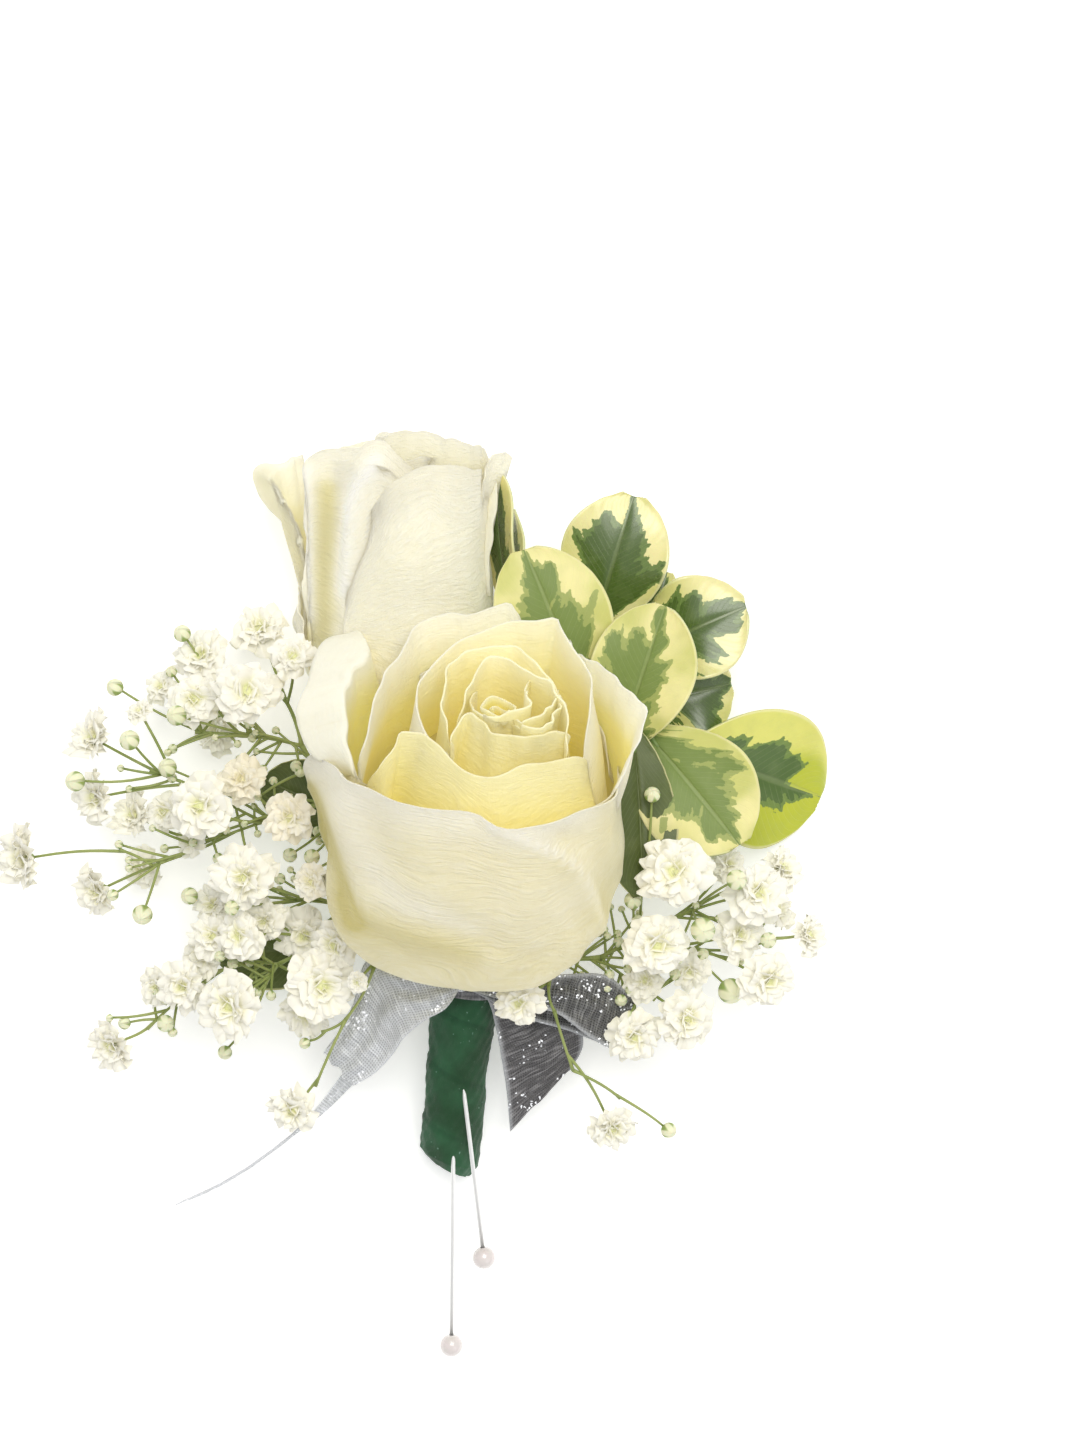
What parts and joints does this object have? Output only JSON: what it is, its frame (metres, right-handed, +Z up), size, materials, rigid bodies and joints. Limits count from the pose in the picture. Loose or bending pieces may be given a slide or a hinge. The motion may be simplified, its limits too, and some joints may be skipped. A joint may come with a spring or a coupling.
{
  "type": "boutonniere",
  "caption": "Lapel flower of cream roses, variegated leaves and baby's breath, with a ribbon bow, a taped stem and pearl-headed pins, lying flat.",
  "frame": {"origin": "centre of the bottom of the bounding box, on the surface that the object lies on", "axes": "+Z up from that surface, +Y from the pearl heads along the stem to the roses, +X to the right when seen from above"},
  "size_m": [0.1164, 0.13, 0.0587],
  "materials": {
    "petals": "soft matte petal, cream with yellow depths",
    "calyx_green": "green stem and sepals",
    "leaves": "green leaf with a cream margin",
    "florets": "small white double flowers on fine green stems",
    "stem_tape": "dark green crepe tape",
    "ribbon": "silver grey sheer ribbon with glitter",
    "pin_steel": "polished pin wire",
    "pearl": "white pearl bead"
  },
  "bodies": {
    "root": {"rose_front_bloom": "petals", "rose_rear_bloom": "petals", "rose_front_calyx": "calyx_green", "rose_rear_calyx": "calyx_green", "leaf_upper": "leaves", "leaf_lower": "leaves", "leaf_left": "leaves", "gyp_left_upper": "florets", "gyp_left_lower": "florets", "gyp_right": "florets", "stem_wrap": "stem_tape", "ribbon_bow": "ribbon", "pin_1_shaft": "pin_steel", "pin_1_pearl": "pearl", "pin_2_shaft": "pin_steel", "pin_2_pearl": "pearl"}
  },
  "joints": []
}
